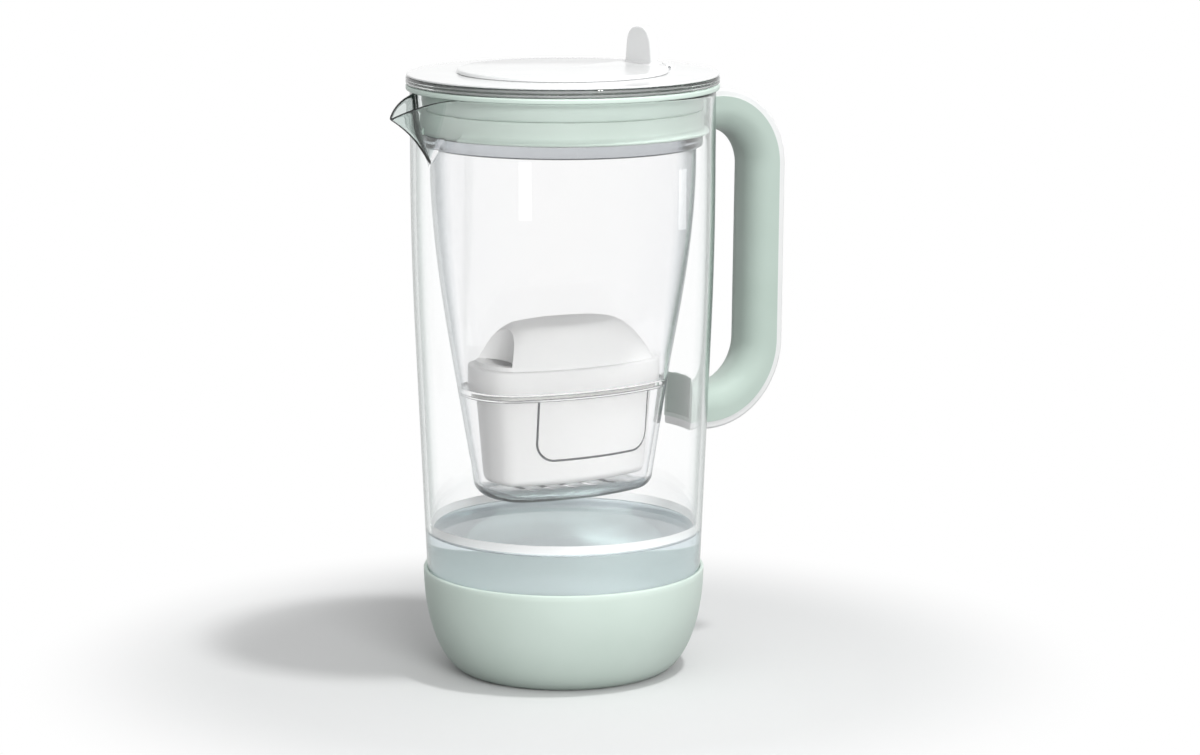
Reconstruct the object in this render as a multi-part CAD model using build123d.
from build123d import *
from math import cos, pi, radians, sin, sqrt
import os

# A water filter pitcher: glass jug, filter hopper, lid with a flip flap, and filter cartridge.
# The jug stands on z = 0 with its axis on Z, its spout towards -X and its handle towards +X.

os.makedirs("parts", exist_ok=True)

# ---- Driving dimensions, in millimetres ----

# Glass jug
RIM_Z = 262.0  # height of the glass rim
JUG_R = 67.6  # outside radius of the straight upper wall
JUG_LOW_R = 61.5  # outside radius where the wall enters the sleeve
TAPER_Z = 190.0  # height at which the wall turns from straight to tapered
TAPER_BLEND = 35.0  # half the height over which it turns
GLASS_WALL = 2.3
GLASS_FLOOR = 5.0

# Spout, pulled out of the wall
SPOUT_DEPTH = 29.0  # from the rim down to its lowest point on the wall
SPOUT_REACH = 21.0  # how far its underside slopes out at a steady rate
SPOUT_FLARE = 7.5  # how much further it curls out at the top
SPOUT_HALF_W = 19.3  # half its width at the wall
CURL_R = 33.0  # radius of the downward curl of its lip
CURL_START = 1.6  # how far inside the outer wall the curl starts

# Silicone sleeve round the foot
SLEEVE_TOP_Z = 47.0
SLEEVE_WALL = 1.6
SLEEVE_FLOOR = 3.0
SLEEVE_FOOT_R = 43.6  # radius of the flat that it stands on
SLEEVE_ROUND = 0.5
SLEEVE_FIT = 0.1  # clearance between sleeve and glass

# Handle
HANDLE_TOP_DROP = 3.0  # from the rim down to the top of the handle
HANDLE_H = 155.3  # its overall height
HANDLE_OUT = 43.8  # how far its back stands out from the straight wall
HANDLE_LEAN = 1.8  # how much nearer the axis its back is at the bottom
HANDLE_W = 25.0
BACK_T = 3.5  # thickness of the back shell
BACK_INSET = 0.5  # how much narrower than the grip the back shell is, on each side
BACK_ROUND = 1.4
GRIP_T = 13.2  # depth of the grip in front of the back shell, along its upright
ARM_T = 15.9  # height of the grip's two arms
GRIP_ROUND = 10.5
OUTER_TOP_R = 36.0
OUTER_LOW_R = 39.0
INNER_TOP_R = 17.5
INNER_LOW_R = 19.5
FOOT_FLARE = 6.5  # radius with which each arm spreads onto the glass
BOND_T = 0.4  # adhesive film between handle and glass
BOND_INSET = 2.0
BOND_FIT = 0.02

# Collar: a rigid ring that rests on the rim, and a seal below it
COLLAR_GAP = 2.9  # between collar and glass
COLLAR_WALL = 2.9
FLANGE_T = 2.4
FLANGE_OVERHANG = 1.7  # how far the flange stands out over the jug
FLANGE_ROUND = 0.7
RING_DEPTH = 8.3  # height of the ring below its flange
SEAL_H = 10.1
BAND_BULGE = 0.6
PARTING = 0.2  # gap between ring and seal
LIP_GAP = 0.5  # between the seal's lip and the glass
LIP_RISE = 3.0  # height over which the lip flares
LIP_T = 0.8
POUR_HALF_W = 17.0  # half the width of the pouring gap in the lip
COLLAR_FIT = 0.1

# Hopper, hung in the jug
HOPPER_WALL = 2.0
BAND_H = 5.8  # height of the band that carries the seal
BAND_INSET = 0.5
BAND_ROUND = 1.2
THROAT_INSET = 0.4  # step in from the neck to the top of the body
THROAT_DROP = 3.5  # from the band down to where the taper starts
WELL_DROP = 94.0  # from there down to where the well is fully oval
WELL_DEPTH = 59.0  # from there down to the hopper's underside
WELL_GAP_X = 6.4  # between the cartridge's rim and the outside of the well, lengthwise
WELL_GAP_Y = 5.0
WELL_DRAFT_X = 9.3  # how much the well narrows towards its underside, on each side
WELL_DRAFT_Y = 5.2
WELL_CORNER = 20.0
WELL_ROUND = 7.0
BODY_STEPS = 10
HOPPER_FLOOR = 2.6
SHELF_T = 2.0
SHELF_DROP = 9.5  # from the start of the well down to the top of the cartridge shelf
DRAIN_COUNT = 5
DRAIN_L = 22.0
DRAIN_W = 3.0
DRAIN_PITCH = 10.0

# Cartridge
CART_RIM_A = 44.5  # half the length of the rim
CART_RIM_B = 26.0  # half its width
CART_RIM_H = 10.5
CART_CORNER = 15.0
CART_STEP = 3.4  # how far the rim stands out over the body
CART_BODY_H = 42.5
CART_DRAFT = 3.6  # how much the body narrows towards its underside, on each side
CART_WALL = 1.6
CART_FIT = 1.2  # clearance between body and shelf, filled by the seal
SEAL_FIT = 0.05
CART_BASE_ROUND = 3.5
WINDOW_HALF_L = 27.0  # half the length of the outlined panel on each long side
WINDOW_DEPTH = 30.0  # its height below the rim
WINDOW_LINE = 1.2  # width of its outline
WINDOW_CUT = 0.8
WINDOW_ROUND = 9.0
CAP_STEP = 3.0  # ledge between the rim's edge and the dome
CAP_T = 1.6
DOME_H = 18.0
DOME_TOP_A = 23.0
DOME_TOP_B = 12.0
DOME_TOP_CORNER = 9.0
DOME_BULGE = 0.55  # 0 is a straight slope from its base to its top, 1 a quarter round
DOME_STEPS = 7
SCOOP_R = 21.0  # radius of the finger scoop in the end of the dome
SCOOP_IN = 13.0  # how far it reaches in from the end of the dome
SLIT_COUNT = 5
SLIT_W = 1.2
SLIT_L = 7.0
SLIT_PITCH = 3.0
OUTLET_COUNT = 7
OUTLET_L = 20.0
OUTLET_W = 2.0
OUTLET_PITCH = 6.0
SPIGOT_H = 3.0  # how far the cap's spigot reaches into the cup
MESH_T = 0.5
MESH_FIT = 0.1

# Lid
LID_RING_T = 4.0
LID_RING_ROUND = 1.2
LID_RING_LIP = 0.4  # depth of the shallow groove round its edge
PANEL_EDGE_T = 0.8
PANEL_T = 3.2
PANEL_INSET = 0.4
SKIRT_FIT = 0.4
SKIRT_T = 1.5
SKIRT_H = 12.0
FLAP_INSET = 22.5  # from the edge of the lid in to the edge of the flap
FLAP_T = 2.0
FLAP_ROUND = 0.9
FLAP_LAP = 6.8  # how far the flap laps over the edge of the fill hole
HOLE_LIP_T = 1.5
HOLE_LIP_H = 6.0
PLUG_FIT = 0.7
PLUG_T = 1.5
PLUG_H = 3.2
HINGE_OUT = 2.2  # from the edge of the flap to the hinge axis
KNUCKLE_R = 1.9
KNUCKLE_HALF_W = 6.0
EAR_GAP = 0.3
EAR_W = 4.0
PIN_R = 0.9
PIN_FIT = 0.05
EAR_BORE_FIT = 0.01
GROOVE_CLEAR = 0.35
LEVER_IN = 6.0  # from the edge of the flap in to the middle of the lever
LEVER_T = 3.6
LEVER_BASE_W = 21.0
LEVER_TOP_W = 16.0
LEVER_H = 16.2  # above the flap
LEVER_TOP_ROUND = 7.0
LEVER_FOOT = 1.5  # radius with which it spreads onto the flap

# Ovals: how each quarter turns, in degrees, and how many steps a rounded end has
OVAL_TURN = 20.0
ROUND_STEPS = 4

# ---- Sizes worked out from them ----

BORE_R = JUG_R - GLASS_WALL
COLLAR_R = BORE_R - COLLAR_GAP
LIP_R = BORE_R - LIP_GAP
COLLAR_BORE_R = COLLAR_R - COLLAR_WALL
NECK_R = COLLAR_BORE_R - COLLAR_FIT
NECK_BORE_R = NECK_R - HOPPER_WALL
FLANGE_R = JUG_R + FLANGE_OVERHANG
FLANGE_TOP = RIM_Z + FLANGE_T
RING_LOW = RIM_Z - RING_DEPTH
SEAL_TOP = RING_LOW - PARTING
SEAL_LOW = SEAL_TOP - SEAL_H
BAND_LOW = SEAL_LOW - BAND_H
THROAT_Z = BAND_LOW - THROAT_DROP
WELL_Z = THROAT_Z - WELL_DROP
HOPPER_Z = WELL_Z - WELL_DEPTH
SHELF_Z = WELL_Z - SHELF_DROP
WELL_A = CART_RIM_A + WELL_GAP_X
WELL_B = CART_RIM_B + WELL_GAP_Y
CART_BODY_A = CART_RIM_A - CART_STEP
CART_BODY_B = CART_RIM_B - CART_STEP
CART_BODY_CORNER = CART_CORNER - CART_STEP
CART_TOP = SHELF_Z + CART_RIM_H
CART_Z = SHELF_Z - CART_BODY_H
PANEL_TOP = FLANGE_TOP + LID_RING_T + PANEL_EDGE_T
SKIRT_R = NECK_BORE_R - SKIRT_FIT
FLAP_R = FLANGE_R - FLAP_INSET
HOLE_R = FLAP_R - FLAP_LAP
HINGE_X = FLAP_R + HINGE_OUT
HINGE_Z = PANEL_TOP + FLAP_T - KNUCKLE_R + 0.1
HANDLE_TOP = RIM_Z - HANDLE_TOP_DROP
HANDLE_LOW = HANDLE_TOP - HANDLE_H
HANDLE_X = JUG_R + HANDLE_OUT


def turned(edges):
    """Solid of revolution about Z, from a closed outline in the XZ plane."""
    return revolve(Plane.XZ * make_face(edges), Axis.Z)


def turned_points(points):
    """Solid of revolution about Z, from the corners of its outline."""
    return turned(Polyline(*points, close=True).edges())


def outer_rims(ring):
    """The two outer edges of a plain ring."""
    return ring.edges().filter_by(GeomType.CIRCLE).sort_by(SortBy.RADIUS)[-2:]


def side_plate(edges, width):
    """Plate of the given width across Y, from a closed outline in the XZ plane."""
    return extrude(Plane.XZ * make_face(edges), width / 2, both=True)


def oval_face(half_a, half_b, corner, z):
    """Oval of eight tangent arcs at height z; corner is the radius of its four tighter arcs."""
    turn = radians(OVAL_TURN)
    rise = 1 - cos(turn)
    side = sin(turn)
    span = cos(turn) - side
    along = half_a - corner * span
    across = half_b - corner * span
    end_r = (across * side - along * rise) / (side**2 - rise**2)
    side_r = (along * side - across * rise) / (side**2 - rise**2)
    x = half_a - end_r + (end_r - corner) * cos(turn)
    y = (end_r - corner) * side
    wide = 2 * OVAL_TURN
    tight = 90 - wide
    arcs = [
        CenterArc((half_a - end_r, 0), end_r, -OVAL_TURN, wide),
        CenterArc((x, y), corner, OVAL_TURN, tight),
        CenterArc((0, half_b - side_r), side_r, 90 - OVAL_TURN, wide),
        CenterArc((-x, y), corner, 90 + OVAL_TURN, tight),
        CenterArc((end_r - half_a, 0), end_r, 180 - OVAL_TURN, wide),
        CenterArc((-x, -y), corner, 180 + OVAL_TURN, tight),
        CenterArc((0, side_r - half_b), side_r, 270 - OVAL_TURN, wide),
        CenterArc((x, -y), corner, 270 + OVAL_TURN, tight),
    ]
    return Pos(0, 0, z) * make_face([arc.edge() for arc in arcs])


def oval_loft(levels, skin=0, low_round=0):
    """Solid through ovals (z, half_a, half_b, corner) given upwards, inset by skin."""
    levels = [(z, a - skin, b - skin, corner - skin) for z, a, b, corner in levels]
    if low_round:
        z, a, b, corner = levels[0]
        rounded = []
        for step in range(ROUND_STEPS, -1, -1):
            turn = pi / 2 * step / ROUND_STEPS
            inset = low_round * (1 - cos(turn))
            rounded.append((z + low_round * (1 - sin(turn)), a - inset, b - inset, corner - inset))
        levels[:1] = rounded
    return loft([oval_face(a, b, corner, z) for z, a, b, corner in levels], ruled=True)


def oval_block(half_a, half_b, corner, z_low, z_high):
    """Upright block with an oval outline."""
    return extrude(oval_face(half_a, half_b, corner, z_low), z_high - z_low)


def rounded_slot(length, width, x, y, z_low, z_high):
    """Upright slot cutter, long in X."""
    return Pos(x, y, z_low) * extrude(SlotOverall(length, width), z_high - z_low)


# ---- Jug ----

WALL_SLOPE = (JUG_R - JUG_LOW_R) / (TAPER_Z - SLEEVE_TOP_Z)
GLASS_FOOT_R = SLEEVE_FOOT_R - SLEEVE_WALL


def wall_r(z):
    """Outside radius of the glass below its blend, at height z."""
    return JUG_R - WALL_SLOPE * max(TAPER_Z - z, 0)


def jug_form(grow, floor_z, top_z):
    """Solid with the outline of the glass wall, grown outwards by grow."""
    blend_low = TAPER_Z - TAPER_BLEND
    edges = [
        Line((0, top_z), (JUG_R + grow, top_z)),
        Line((JUG_R + grow, top_z), (JUG_R + grow, TAPER_Z + TAPER_BLEND)),
        Bezier(
            (JUG_R + grow, TAPER_Z + TAPER_BLEND),
            (JUG_R + grow, TAPER_Z),
            (wall_r(blend_low) + grow, blend_low),
        ),
        Line((wall_r(blend_low) + grow, blend_low), (JUG_LOW_R + grow, SLEEVE_TOP_Z)),
        EllipticalCenterArc(
            (GLASS_FOOT_R, SLEEVE_TOP_Z),
            JUG_LOW_R + grow - GLASS_FOOT_R,
            SLEEVE_TOP_Z - floor_z,
            start_angle=270,
            arc_size=90,
        ),
        Line((GLASS_FOOT_R, floor_z), (0, floor_z)),
        Line((0, floor_z), (0, top_z)),
    ]
    return turned(edges)


def spout_section(share, skin):
    """Section of the spout at a share of its depth above its lowest point."""
    half_w = SPOUT_HALF_W * (1 - max(1 - share, 0) ** 1.5) + 0.4
    root = -(sqrt((JUG_R - skin) ** 2 - half_w**2) - 1.5)
    tip = -(JUG_R + SPOUT_REACH * share + SPOUT_FLARE * share**3 - 1.35 * skin)
    outline = []
    for along, across in ((0, 1), (0.37, 0.47), (0.7, 0.25)):
        half = max(across * half_w - 1.15 * skin, 0.1 + 0.1 * (1 - along))
        outline.append((root + along * (tip - root), half))
    mirrored = [(x, -y) for x, y in reversed(outline)]
    nose = Spline(*outline, (tip, 0), *mirrored)
    back = Line(mirrored[-1], outline[0])
    height = RIM_Z - SPOUT_DEPTH + share * SPOUT_DEPTH
    return Pos(0, 0, height) * make_face([*nose.edges(), *back.edges()])


def spout_form(skin):
    """Loft of the spout; skin is how far inside its outer face it lies."""
    shares = (0.02, 0.25, 0.5, 0.75, 1.05)
    return loft([spout_section(share, skin) for share in shares])


def lip_trim():
    """Everything above the rim, and above the downward curl of the spout's lip."""
    start = -(JUG_R - CURL_START)
    reach = SPOUT_REACH + SPOUT_FLARE + 10
    end_drop = CURL_R - sqrt(CURL_R**2 - min(reach, 0.9 * CURL_R) ** 2)
    end = start - min(reach, 0.9 * CURL_R)
    mid_run = (start - end) / 2
    mid_drop = CURL_R - sqrt(CURL_R**2 - mid_run**2)
    high = RIM_Z + 3 * GLASS_WALL
    far = start - 2 * reach
    edges = [
        ThreePointArc((start, RIM_Z), (start - mid_run, RIM_Z - mid_drop), (end, RIM_Z - end_drop)),
        Line((end, RIM_Z - end_drop), (far, RIM_Z - end_drop)),
        Line((far, RIM_Z - end_drop), (far, high)),
        Line((far, high), (-start, high)),
        Line((-start, high), (-start, RIM_Z)),
        Line((-start, RIM_Z), (start, RIM_Z)),
    ]
    return side_plate(edges, 3 * JUG_R)


def make_jug():
    """Glass wall, floor and spout in one piece."""
    over = RIM_Z + GLASS_WALL
    outer = jug_form(0, SLEEVE_FLOOR, RIM_Z) + spout_form(0)
    inner = jug_form(-GLASS_WALL, SLEEVE_FLOOR + GLASS_FLOOR, over) + spout_form(GLASS_WALL)
    return outer - inner - lip_trim()


def make_sleeve():
    """Soft boot that the jug stands in."""
    grow = SLEEVE_WALL
    edges = [
        EllipticalCenterArc(
            (SLEEVE_FOOT_R, SLEEVE_TOP_Z),
            JUG_LOW_R + grow - SLEEVE_FOOT_R,
            SLEEVE_TOP_Z,
            start_angle=270,
            arc_size=90,
        ),
        Line((JUG_LOW_R + grow, SLEEVE_TOP_Z), (0, SLEEVE_TOP_Z)),
        Line((0, SLEEVE_TOP_Z), (0, 0)),
        Line((0, 0), (SLEEVE_FOOT_R, 0)),
    ]
    boot = turned(edges) - jug_form(SLEEVE_FIT, SLEEVE_FLOOR, RIM_Z)
    top_edges = boot.edges().group_by(Axis.Z)[-1].filter_by(GeomType.CIRCLE).sort_by(SortBy.RADIUS)
    return fillet(top_edges[-1:], SLEEVE_ROUND)


# ---- Handle ----


def handle_contour(inset):
    """Back of the handle in side view, inset towards the grip."""
    inside = 0.6 * JUG_R
    top = HANDLE_TOP - inset
    low = HANDLE_LOW + inset
    corners = (
        (inside, top),
        (HANDLE_X - inset, top),
        (HANDLE_X - HANDLE_LEAN - inset, low),
        (inside, low),
    )
    return FilletPolyline(*corners, radius=(OUTER_TOP_R - inset, OUTER_LOW_R - inset))


def grip_front():
    """Finger side of the grip in side view."""
    inside = 0.6 * JUG_R
    high = HANDLE_TOP - BACK_T - ARM_T
    low = HANDLE_LOW + BACK_T + ARM_T
    front = HANDLE_X - BACK_T - GRIP_T
    corners = ((inside, high), (front, high), (front - HANDLE_LEAN, low), (inside, low))
    return FilletPolyline(*corners, radius=(INNER_TOP_R, INNER_LOW_R))


def foot_section(x, z_back, height, finger_side):
    """Section of an arm at x, from its back at z_back towards its finger side, +1 up or -1 down."""
    block = Pos(0, z_back + finger_side * height / 2) * Rectangle(HANDLE_W, height)
    corners = block.vertices().sort_by(Axis.Y)
    corners = corners[-2:] if finger_side > 0 else corners[:2]
    rounding = min(GRIP_ROUND, HANDLE_W / 2 - 1, ARM_T - 1)
    return Plane(origin=(x, 0, 0), x_dir=(0, 1, 0), z_dir=(1, 0, 0)) * fillet(corners, rounding)


def make_foot(wall_x, z_back, finger_side):
    """Spread end of one arm, where it lies on the glass."""
    sections = []
    for out, share in ((FOOT_FLARE, 0), (0.4 * FOOT_FLARE, 0.2), (0, 1), (-0.5 * FOOT_FLARE, 2)):
        height = ARM_T + FOOT_FLARE * share
        sections.append(foot_section(wall_x + out, z_back, height, finger_side))
    return loft(sections)


def between(outline_a, outline_b, width):
    """Plate between two side-view outlines, closed by a line at each end."""
    edges = [
        *outline_a.edges(),
        *outline_b.edges(),
        Line(outline_a @ 0, outline_b @ 0),
        Line(outline_a @ 1, outline_b @ 1),
    ]
    return side_plate(edges, width)


def make_grip():
    """Soft half of the handle, rounded on the finger side, with a spread foot at each end."""
    block = between(handle_contour(BACK_T), grip_front(), HANDLE_W)
    front_x = HANDLE_X - BACK_T - GRIP_T + 0.01
    inside_x = 0.6 * JUG_R + 0.01
    low = HANDLE_LOW + BACK_T + ARM_T - 0.01
    high = HANDLE_TOP - BACK_T - ARM_T + 0.01
    finger_edges = []
    for edge in block.edges():
        box = edge.bounding_box()
        beside = box.size.Y < 0.01
        on_front = box.max.X < front_x and box.min.Z > low and box.max.Z < high
        if beside and on_front and box.max.X > inside_x:
            finger_edges.append(edge)
    rounding = min(GRIP_ROUND, HANDLE_W / 2 - 1, GRIP_T - 1, ARM_T - 1)
    grip = fillet(finger_edges, rounding)
    grip += make_foot(JUG_R, HANDLE_TOP - BACK_T, -1)
    grip += make_foot(wall_r(HANDLE_LOW + BACK_T + ARM_T), HANDLE_LOW + BACK_T, 1)
    return grip - jug_form(BOND_T, SLEEVE_FLOOR, RIM_Z)


def make_back_shell():
    """Hard shell along the back of the handle."""
    width = HANDLE_W - 2 * BACK_INSET
    shell = between(handle_contour(0), handle_contour(BACK_T), width)
    back = shell.faces().sort_by(Axis.X)[-1]
    long_edges = [edge for edge in back.edges() if edge.bounding_box().size.Y < 0.01]
    shell = fillet(long_edges, min(BACK_ROUND, BACK_T - 0.5))
    return shell - jug_form(BOND_T, SLEEVE_FLOOR, RIM_Z)


def make_bond(z_low, z_high):
    """Adhesive film between one foot of the handle and the glass."""
    film = jug_form(BOND_T - BOND_FIT, SLEEVE_FLOOR, RIM_Z) - jug_form(BOND_FIT, SLEEVE_FLOOR, RIM_Z)
    width = HANDLE_W - 2 * BOND_INSET
    middle = Pos(JUG_R, 0, (z_low + z_high) / 2)
    return film & middle * Box(JUG_R, width, z_high - z_low - 2 * BOND_INSET)


# ---- Hopper and collar ----


def hopper_levels(z_low):
    """Ovals of the hopper's outer face, from its underside up to its band."""
    throat_r = NECK_R - THROAT_INSET
    low_a = WELL_A - WELL_DRAFT_X
    low_b = WELL_B - WELL_DRAFT_Y
    levels = [(z_low, low_a, low_b, WELL_CORNER - WELL_DRAFT_Y)]
    for step in range(BODY_STEPS, -1, -1):
        share = sin(pi / 2 * (1 - step / BODY_STEPS))
        half_a = WELL_A + (throat_r - WELL_A) * share
        half_b = WELL_B + (throat_r - WELL_B) * share
        corner = WELL_CORNER + (throat_r - WELL_CORNER) * share
        levels.append((THROAT_Z - WELL_DROP * step / BODY_STEPS, half_a, half_b, corner))
    levels.append((BAND_LOW, throat_r, throat_r, throat_r))
    return levels


def make_hopper():
    """Clear hopper with an oval well, a shelf for the cartridge and drain slots."""
    shell = oval_loft(hopper_levels(HOPPER_Z), low_round=WELL_ROUND)
    inside = hopper_levels(HOPPER_Z + HOPPER_FLOOR)
    shell -= oval_loft(inside, skin=HOPPER_WALL, low_round=WELL_ROUND - HOPPER_WALL)
    band_r = COLLAR_R - BAND_INSET
    neck = turned_points(
        (
            (NECK_BORE_R, BAND_LOW),
            (band_r, BAND_LOW),
            (band_r, SEAL_LOW),
            (NECK_R, SEAL_LOW),
            (NECK_R, FLANGE_TOP),
            (NECK_BORE_R, FLANGE_TOP),
        )
    )
    low_rim = neck.edges().group_by(Axis.Z)[0].filter_by(GeomType.CIRCLE).sort_by(SortBy.RADIUS)[-1:]
    neck = fillet(low_rim, min(BAND_ROUND, COLLAR_R - BAND_INSET - NECK_R - 0.2))
    share = SHELF_DROP / WELL_DEPTH
    wall_a = WELL_A - WELL_DRAFT_X * share - HOPPER_WALL / 2
    wall_b = WELL_B - WELL_DRAFT_Y * share - HOPPER_WALL / 2
    shelf_low = SHELF_Z - SHELF_T
    shelf = oval_block(wall_a, wall_b, WELL_CORNER - HOPPER_WALL / 2, shelf_low, SHELF_Z)
    opening_a = CART_BODY_A + CART_FIT
    opening_b = CART_BODY_B + CART_FIT
    shelf -= oval_block(opening_a, opening_b, CART_BODY_CORNER + CART_FIT, shelf_low - 1, SHELF_Z + 1)
    hopper = shell + neck + shelf
    for i in range(DRAIN_COUNT):
        x = (i - (DRAIN_COUNT - 1) / 2) * DRAIN_PITCH
        drain = Rot(0, 0, 90) * SlotOverall(DRAIN_L, DRAIN_W)
        hopper -= Pos(x, 0, HOPPER_Z - 1) * extrude(drain, HOPPER_FLOOR + 2)
    return hopper


def bulged_band(r_in, r_out, z_low, z_high):
    """Ring whose outer face bulges by BAND_BULGE at half its height."""
    low_r = r_out - BAND_BULGE
    edges = [
        Line((r_in, z_high), (r_in, z_low)),
        Line((r_in, z_low), (low_r, z_low)),
        ThreePointArc((low_r, z_low), (r_out, (z_low + z_high) / 2), (low_r, z_high)),
        Line((low_r, z_high), (r_in, z_high)),
    ]
    return turned(edges)


def make_collar_ring():
    """Rigid ring with the flange that rests on the glass rim."""
    flange = turned_points(
        (
            (COLLAR_BORE_R, RIM_Z),
            (FLANGE_R, RIM_Z),
            (FLANGE_R, FLANGE_TOP),
            (COLLAR_BORE_R, FLANGE_TOP),
        )
    )
    rounding = min(FLANGE_ROUND, FLANGE_T / 2 - 0.1)
    flange = fillet(outer_rims(flange), rounding)
    return flange + bulged_band(COLLAR_BORE_R, COLLAR_R, RING_LOW, RIM_Z)


def make_collar_seal():
    """Soft ring below, with a lip that is cut away at the spout."""
    band = bulged_band(COLLAR_BORE_R, COLLAR_R, SEAL_LOW, SEAL_TOP)
    root = COLLAR_R - BAND_BULGE - 0.4
    lip = turned_points(
        (
            (root, SEAL_LOW),
            (LIP_R - LIP_T, SEAL_LOW),
            (LIP_R, SEAL_LOW + LIP_T),
            (LIP_R, SEAL_LOW + 1.6 * LIP_T),
            (root, SEAL_LOW + LIP_T + LIP_RISE),
        )
    )
    gap = Pos(-JUG_R, 0, SEAL_LOW + SEAL_H / 2) * Box(JUG_R, 2 * POUR_HALF_W, SEAL_H)
    gap -= Pos(0, 0, SEAL_LOW + SEAL_H / 2) * Cylinder(COLLAR_R, 2 * SEAL_H)
    return band + lip - gap


# ---- Cartridge ----


def cartridge_body(skin, z_low):
    """Tapered body of the cartridge's cup."""
    low = (z_low, CART_BODY_A - CART_DRAFT, CART_BODY_B - CART_DRAFT, CART_BODY_CORNER - CART_DRAFT)
    top = (SHELF_Z, CART_BODY_A, CART_BODY_B, CART_BODY_CORNER)
    return oval_loft([low, top], skin, low_round=CART_BASE_ROUND - skin)


def window_outline(side):
    """Cutter for the U-shaped outline of the panel on one long side."""
    low = SHELF_Z - WINDOW_DEPTH
    outer = Pos(0, SHELF_Z, 0) * Rectangle(2 * WINDOW_HALF_L, 2 * WINDOW_DEPTH)
    outer = fillet(outer.vertices(), WINDOW_ROUND)
    inner_w = 2 * (WINDOW_HALF_L - WINDOW_LINE)
    inner = Pos(0, SHELF_Z, 0) * Rectangle(inner_w, 2 * (WINDOW_DEPTH - WINDOW_LINE))
    inner = fillet(inner.vertices(), WINDOW_ROUND - WINDOW_LINE)
    frame = Plane.XZ * (outer - inner)
    frame = extrude(frame, CART_RIM_B) if side < 0 else extrude(frame, -CART_RIM_B)
    keep = Pos(0, 0, (low + SHELF_Z) / 2 - 2) * Box(4 * WINDOW_HALF_L, 4 * CART_RIM_B, SHELF_Z - low)
    return frame & keep


def throat_block(skin, z_low, z_high):
    """Block that fills the mouth of the cup, inset by skin."""
    inset = CART_WALL + WINDOW_CUT + skin
    return oval_block(CART_BODY_A - inset, CART_BODY_B - inset, CART_BODY_CORNER - inset, z_low, z_high)


def make_cup():
    """Cup of the cartridge, with its rim and the outlined panels."""
    body = cartridge_body(0, CART_Z)
    core = cartridge_body(WINDOW_CUT, CART_Z)
    for side in (-1, 1):
        body -= window_outline(side) - core
    rim = oval_block(CART_RIM_A, CART_RIM_B, CART_CORNER, SHELF_Z, CART_TOP)
    floor_z = CART_Z + CART_WALL
    hollow = cartridge_body(CART_WALL + WINDOW_CUT, floor_z)
    cup = body + rim - hollow - throat_block(0, SHELF_Z, CART_TOP)
    for i in range(OUTLET_COUNT):
        x = (i - (OUTLET_COUNT - 1) / 2) * OUTLET_PITCH
        slot = Rot(0, 0, 90) * SlotOverall(OUTLET_L, OUTLET_W)
        cup -= Pos(x, 0, CART_Z - 1) * extrude(slot, CART_WALL + 2)
    return cup


def dome_form(skin, z_low):
    """Dome of the cap, from z_low at or below its base up to its flat top."""
    base = (CART_RIM_A - CAP_STEP, CART_RIM_B - CAP_STEP, CART_CORNER - CAP_STEP)
    top = (DOME_TOP_A, DOME_TOP_B, DOME_TOP_CORNER)
    levels = [(z_low, *base)] if z_low < CART_TOP else []
    for step in range(DOME_STEPS + 1):
        turn = pi / 2 * step / DOME_STEPS
        rise = sin(turn)
        inset = DOME_BULGE * (1 - cos(turn)) + (1 - DOME_BULGE) * rise
        oval = [low + (high - low) * inset for low, high in zip(base, top)]
        levels.append((CART_TOP + (DOME_H - skin) * rise, *oval))
    return oval_loft(levels, skin)


def scoop_form(skin):
    """Finger scoop in the spout end of the dome, grown by skin."""
    x = -(CART_RIM_A - CAP_STEP - SCOOP_IN + SCOOP_R)
    z = CART_TOP + CAP_T + (DOME_H / 2)
    return Pos(x, 0, z - skin) * Cylinder(SCOOP_R + skin, DOME_H)


def make_cap():
    """Domed lid of the cartridge, with a finger scoop and inlet slits."""
    dome = dome_form(0, CART_TOP) - scoop_form(0)
    cavity = dome_form(CAP_T, CART_TOP - 1) - scoop_form(CAP_T)
    rim_a = CART_RIM_A - CAP_STEP - CAP_T / 2
    rim_b = CART_RIM_B - CAP_STEP - CAP_T / 2
    rim = oval_block(rim_a, rim_b, CART_CORNER - CAP_STEP - CAP_T / 2, CART_TOP, CART_TOP + CAP_T)
    spigot = throat_block(MESH_FIT, CART_TOP - SPIGOT_H, CART_TOP)
    bore = throat_block(MESH_FIT + CAP_T, CART_TOP - SPIGOT_H, CART_TOP + CAP_T)
    cap = dome - cavity + rim + spigot - bore
    slit_x = -(CART_RIM_A - CAP_STEP - SCOOP_IN / 2) + 1
    for i in range(SLIT_COUNT):
        y = (i - (SLIT_COUNT - 1) / 2) * SLIT_PITCH
        cap -= rounded_slot(SLIT_L, SLIT_W, slit_x, y, CART_TOP - 1, CART_TOP + 2 * CAP_T)
    return cap


def make_cartridge_seal():
    """Soft ring round the cup under its rim, which fills the opening of the shelf."""
    grow = CART_FIT - SEAL_FIT
    half_a = CART_BODY_A + grow
    half_b = CART_BODY_B + grow
    ring = oval_block(half_a, half_b, CART_BODY_CORNER + grow, SHELF_Z - SHELF_T, SHELF_Z)
    return ring - cartridge_body(-SEAL_FIT, CART_Z)


def make_inlet_mesh():
    """Fine sieve under the cap."""
    z = CART_TOP - SPIGOT_H
    return throat_block(MESH_FIT, z - MESH_T, z)


def make_outlet_mesh():
    """Fine sieve on the floor of the cup."""
    floor_z = CART_Z + CART_WALL
    return throat_block(MESH_FIT + CART_DRAFT + 1, floor_z, floor_z + MESH_T)


def make_media():
    """Bed of filter granules between the two sieves."""
    skin = CART_WALL + WINDOW_CUT + MESH_FIT
    bed = cartridge_body(skin, CART_Z + CART_WALL + MESH_T)
    top = CART_TOP - SPIGOT_H - MESH_T
    return bed + throat_block(MESH_FIT, SHELF_Z, top)


# ---- Lid ----


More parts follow.
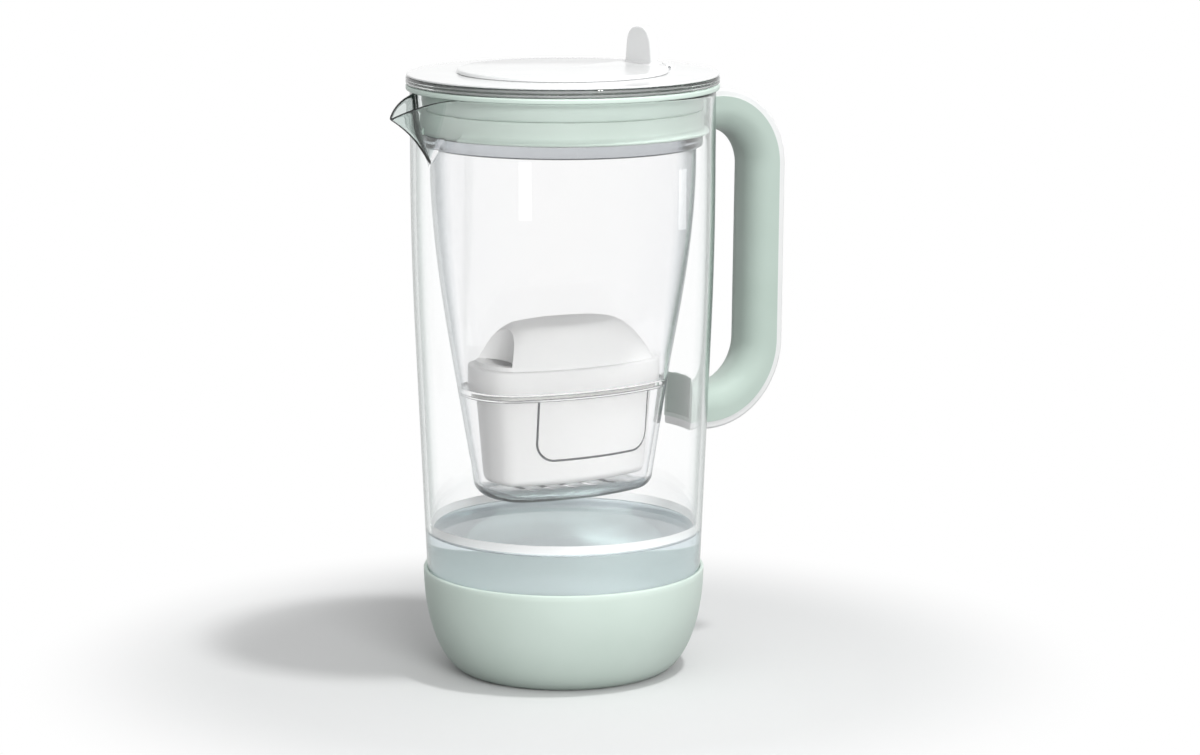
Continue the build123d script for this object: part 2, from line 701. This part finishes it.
def make_lid_ring():
    """Clear ring between the flange and the lid panel."""
    z_low = FLANGE_TOP
    z_high = FLANGE_TOP + LID_RING_T
    inner = SKIRT_R + 0.2
    middle = (z_low + z_high) / 2
    ring = turned_points(((inner, z_low), (FLANGE_R, z_low), (FLANGE_R, z_high), (inner, z_high)))
    rounding = min(LID_RING_ROUND, LID_RING_T / 2 - 0.5)
    ring = fillet(outer_rims(ring), rounding)
    groove = turned_points(
        (
            (FLANGE_R - LID_RING_LIP, middle),
            (FLANGE_R + 1, middle + LID_RING_LIP + 1),
            (FLANGE_R + 1, middle - LID_RING_LIP - 1),
        )
    )
    return ring - groove


def knuckle(y_low, y_high):
    """Length of hinge barrel along Y."""
    barrel = Rot(90, 0, 0) * Cylinder(KNUCKLE_R, y_high - y_low)
    return Pos(HINGE_X, (y_low + y_high) / 2, HINGE_Z) * barrel


def pin_bore(radius):
    """Round bar along the hinge axis, as long as the hinge."""
    bore = Rot(90, 0, 0) * Cylinder(radius, 2 * (KNUCKLE_HALF_W + EAR_GAP + EAR_W))
    return Pos(HINGE_X, 0, HINGE_Z) * bore


def make_panel():
    """White lid panel with its fill hole, skirt and hinge ears."""
    edge_low = PANEL_TOP - PANEL_EDGE_T
    plate_low = PANEL_TOP - PANEL_T
    panel = turned_points(
        (
            (HOLE_R, PANEL_TOP),
            (HOLE_R, PANEL_TOP - HOLE_LIP_H),
            (HOLE_R + HOLE_LIP_T, PANEL_TOP - HOLE_LIP_H),
            (HOLE_R + HOLE_LIP_T, plate_low),
            (SKIRT_R - SKIRT_T, plate_low),
            (SKIRT_R - SKIRT_T, PANEL_TOP - SKIRT_H),
            (SKIRT_R, PANEL_TOP - SKIRT_H),
            (SKIRT_R, edge_low),
            (FLANGE_R - PANEL_INSET, edge_low),
            (FLANGE_R - PANEL_INSET, PANEL_TOP),
        )
    )
    rim = panel.edges().group_by(Axis.Z)[-1].filter_by(GeomType.CIRCLE).sort_by(SortBy.RADIUS)[-1:]
    panel = fillet(rim, PANEL_EDGE_T / 2)
    barrel = Rot(90, 0, 0) * Cylinder(KNUCKLE_R + GROOVE_CLEAR, 2 * (KNUCKLE_HALF_W + EAR_GAP))
    panel -= Pos(HINGE_X, 0, HINGE_Z) * barrel
    ear_in = KNUCKLE_HALF_W + EAR_GAP
    for y_low, y_high in ((-ear_in - EAR_W, -ear_in), (ear_in, ear_in + EAR_W)):
        panel += knuckle(y_low, y_high)
    return panel - pin_bore(PIN_R + EAR_BORE_FIT)


def make_pin():
    """Hinge pin of the flap."""
    return pin_bore(PIN_R)


def make_lever():
    """Thumb lever, wider at its base and rounded at its top."""
    top = FLAP_T + LEVER_H
    outline = Polyline(
        (-LEVER_BASE_W / 2, FLAP_T / 2),
        (LEVER_BASE_W / 2, FLAP_T / 2),
        (LEVER_TOP_W / 2, top),
        (-LEVER_TOP_W / 2, top),
        close=True,
    )
    blade = make_face(outline.edges())
    rounding = min(LEVER_TOP_ROUND, 0.45 * LEVER_TOP_W)
    blade = fillet(blade.vertices().group_by(Axis.Y)[-1], rounding)
    lever = extrude(Plane.YZ * blade, LEVER_T / 2, both=True)
    return Pos(FLAP_R - LEVER_IN, 0, PANEL_TOP) * lever


def make_flap():
    """Round flip flap with its plug, thumb lever and hinge knuckle."""
    disc = Pos(0, 0, PANEL_TOP + FLAP_T / 2) * Cylinder(FLAP_R, FLAP_T)
    disc = fillet(disc.edges().group_by(Axis.Z)[-1], min(FLAP_ROUND, FLAP_T - 0.4))
    flap = disc + make_lever()
    foot_z = PANEL_TOP + FLAP_T
    foot_edges = flap.edges().filter_by_position(Axis.Z, foot_z - 0.01, foot_z + 0.01)
    foot_edges = foot_edges.filter_by(GeomType.LINE)
    behind = sqrt(FLAP_R**2 - (LEVER_BASE_W / 2) ** 2) - FLAP_ROUND - (FLAP_R - LEVER_IN + LEVER_T / 2)
    flap = fillet(foot_edges, min(LEVER_FOOT, 0.7 * behind))
    plug_r = HOLE_R - PLUG_FIT
    plug = turned_points(
        (
            (plug_r - PLUG_T, PANEL_TOP + FLAP_T / 2),
            (plug_r - PLUG_T, PANEL_TOP - PLUG_H),
            (plug_r, PANEL_TOP - PLUG_H),
            (plug_r, PANEL_TOP + FLAP_T / 2),
        )
    )
    web_in = FLAP_R - 3
    web_top = HINGE_Z + KNUCKLE_R
    web_mid = Pos((web_in + HINGE_X) / 2, 0, (PANEL_TOP + web_top) / 2)
    web = web_mid * Box(HINGE_X - web_in, 2 * KNUCKLE_HALF_W, web_top - PANEL_TOP)
    flap = flap + plug + web + knuckle(-KNUCKLE_HALF_W, KNUCKLE_HALF_W)
    return flap - pin_bore(PIN_R + PIN_FIT)


FOOT_TOP_Z = (HANDLE_TOP - BACK_T - ARM_T - FOOT_FLARE, HANDLE_TOP - BACK_T)
FOOT_LOW_Z = (HANDLE_LOW + BACK_T, HANDLE_LOW + BACK_T + ARM_T + FOOT_FLARE)

PIECES = {
    "glass_jug": make_jug(),
    "base_sleeve": make_sleeve(),
    "handle_grip": make_grip(),
    "handle_back_shell": make_back_shell(),
    "handle_bond_upper": make_bond(*FOOT_TOP_Z),
    "handle_bond_lower": make_bond(*FOOT_LOW_Z),
    "hopper": make_hopper(),
    "collar_ring": make_collar_ring(),
    "collar_seal": make_collar_seal(),
    "cartridge_cup": make_cup(),
    "cartridge_cap": make_cap(),
    "cartridge_seal": make_cartridge_seal(),
    "cartridge_inlet_mesh": make_inlet_mesh(),
    "cartridge_outlet_mesh": make_outlet_mesh(),
    "filter_media": make_media(),
    "lid_ring": make_lid_ring(),
    "lid_panel": make_panel(),
    "hinge_pin": make_pin(),
    "flap": make_flap(),
}

for name, piece in PIECES.items():
    export_step(piece, f"parts/{name}.step")
